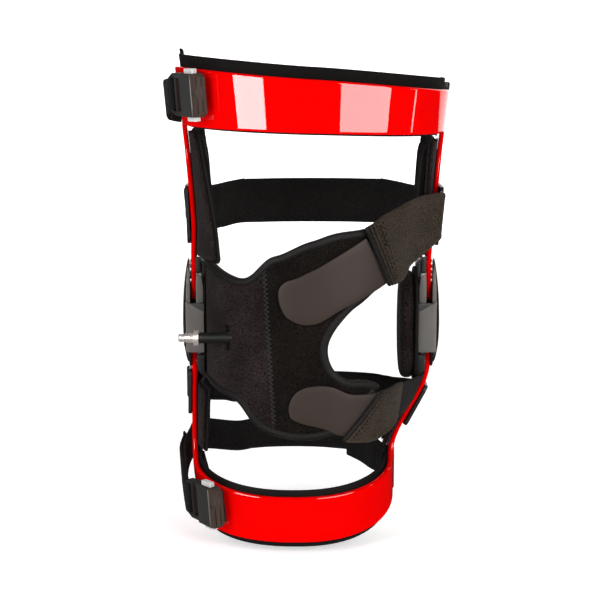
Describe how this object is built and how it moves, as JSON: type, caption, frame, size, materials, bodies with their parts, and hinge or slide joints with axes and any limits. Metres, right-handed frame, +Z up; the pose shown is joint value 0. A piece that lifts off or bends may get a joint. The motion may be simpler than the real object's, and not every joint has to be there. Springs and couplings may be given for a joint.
{
  "type": "hinged knee brace",
  "caption": "Rigid hinged knee guard for a rider's right leg: red thigh and shin bands joined by geared two-pivot hinges, with liners, kneecap wrap, air pad, straps and quick-release buckles.",
  "frame": {"origin": "middle of the knee: midway between the two hinges, and between the upper and lower pivots of each", "axes": "+X towards the inner (medial) side of a right leg, -Y to the front, +Z up the thigh"},
  "size_m": [0.197, 0.1651, 0.33],
  "materials": {
    "frame_red": "high gloss",
    "liner": "soft foam, moulded",
    "steel": "satin",
    "hinge_plate": "satin black",
    "housing": "satin moulded",
    "anchor": "satin moulded",
    "button": "smooth white",
    "tube": "satin",
    "bladder": "film",
    "nickel": "nickel plated",
    "wrap": "neoprene with loop pile",
    "hook": "woven hook tape back",
    "strap": "brushed elastic webbing"
  },
  "bodies": {
    "thigh": {"thigh_frame": "frame_red", "thigh_liner": "liner", "lateral_thigh_pad": "liner", "medial_thigh_pad": "liner", "lateral_upper_gear_head": "steel", "medial_upper_gear_head": "steel", "thigh_arm_rivets": "steel", "thigh_strap_anchors": "anchor", "thigh_band_loop": "anchor", "upper_thigh_strap": "strap", "lower_thigh_strap": "strap", "upper_kneecap_strap": "strap", "thigh_buckle_base": "anchor"},
    "lateral_hinge": {"lateral_inner_plate": "hinge_plate", "lateral_outer_plate": "hinge_plate", "lateral_hinge_housing": "housing", "lateral_pivot_pins": "steel", "lateral_extension_stops": "steel", "lateral_hinge_cover": "housing", "lateral_cover_screws": "steel", "lateral_condyle_pad": "liner", "air_bladder": "bladder", "inflation_tube": "tube", "valve_ferrule": "nickel", "valve_stem": "nickel", "kneecap_wrap": "wrap", "upper_hook_tab": "hook", "lower_hook_tab": "hook"},
    "medial_hinge": {"medial_inner_plate": "hinge_plate", "medial_outer_plate": "hinge_plate", "medial_hinge_housing": "housing", "medial_pivot_pins": "steel", "medial_extension_stops": "steel", "medial_hinge_cover": "housing", "medial_cover_screws": "steel", "medial_condyle_pad": "liner"},
    "shin": {"shin_frame": "frame_red", "shin_liner": "liner", "lateral_shin_pad": "liner", "medial_shin_pad": "liner", "lateral_lower_gear_head": "steel", "medial_lower_gear_head": "steel", "shin_arm_rivets": "steel", "shin_strap_anchors": "anchor", "shin_band_loop": "anchor", "upper_calf_strap": "strap", "lower_calf_strap": "strap", "shin_buckle_base": "anchor", "lower_kneecap_strap": "strap"},
    "thigh_clip": {"thigh_buckle_clip": "housing", "thigh_button_springs": "steel"},
    "thigh_upper_button": {"thigh_upper_button": "button"},
    "thigh_lower_button": {"thigh_lower_button": "button"},
    "shin_clip": {"shin_buckle_clip": "housing", "shin_button_springs": "steel"},
    "shin_upper_button": {"shin_upper_button": "button"},
    "shin_lower_button": {"shin_lower_button": "button"}
  },
  "joints": [
    {"name": "upper_pivot", "type": "hinge", "parent": "thigh", "child": "lateral_hinge", "pos_m": [-0.0813, 0, 0.013], "axis": [1, 0, 0], "range_deg": [0, 50], "deforming": ["upper_kneecap_strap"]},
    {"name": "lower_pivot", "type": "hinge", "parent": "lateral_hinge", "child": "shin", "pos_m": [-0.0813, 0, -0.013], "axis": [1, 0, 0], "range_deg": [0, 50], "deforming": ["lower_kneecap_strap"]},
    {"name": "medial_upper_pivot", "type": "hinge", "parent": "thigh", "child": "medial_hinge", "pos_m": [0.0813, 0, 0.013], "axis": [1, 0, 0], "range_deg": [0, 50]},
    {"name": "thigh_clip_release", "type": "slide", "parent": "thigh", "child": "thigh_clip", "axis": [-0.8259, -0.5571, -0.0872], "range_m": [0, 0.01]},
    {"name": "thigh_upper_button_press", "type": "slide", "parent": "thigh_clip", "child": "thigh_upper_button", "axis": [0.0723, 0.0487, -0.9962], "range_m": [0, 0.0018], "stiffness_N_per_m": 250, "springref_m": -0.0015, "deforming": ["thigh_button_springs"]},
    {"name": "thigh_lower_button_press", "type": "slide", "parent": "thigh_clip", "child": "thigh_lower_button", "axis": [-0.0723, -0.0487, 0.9962], "range_m": [0, 0.0018], "stiffness_N_per_m": 250, "springref_m": -0.0015},
    {"name": "shin_clip_release", "type": "slide", "parent": "shin", "child": "shin_clip", "axis": [-0.7956, -0.5995, -0.0872], "range_m": [0, 0.01]},
    {"name": "shin_upper_button_press", "type": "slide", "parent": "shin_clip", "child": "shin_upper_button", "axis": [0.0696, 0.0525, -0.9962], "range_m": [0, 0.0018], "stiffness_N_per_m": 250, "springref_m": -0.0015, "deforming": ["shin_button_springs"]},
    {"name": "shin_lower_button_press", "type": "slide", "parent": "shin_clip", "child": "shin_lower_button", "axis": [-0.0696, -0.0525, 0.9962], "range_m": [0, 0.0018], "stiffness_N_per_m": 250, "springref_m": -0.0015}
  ],
  "couplings": [
    {"joint": "lower_pivot", "follows": "upper_pivot", "ratio": 1},
    {"joint": "medial_upper_pivot", "follows": "upper_pivot", "ratio": 1}
  ]
}
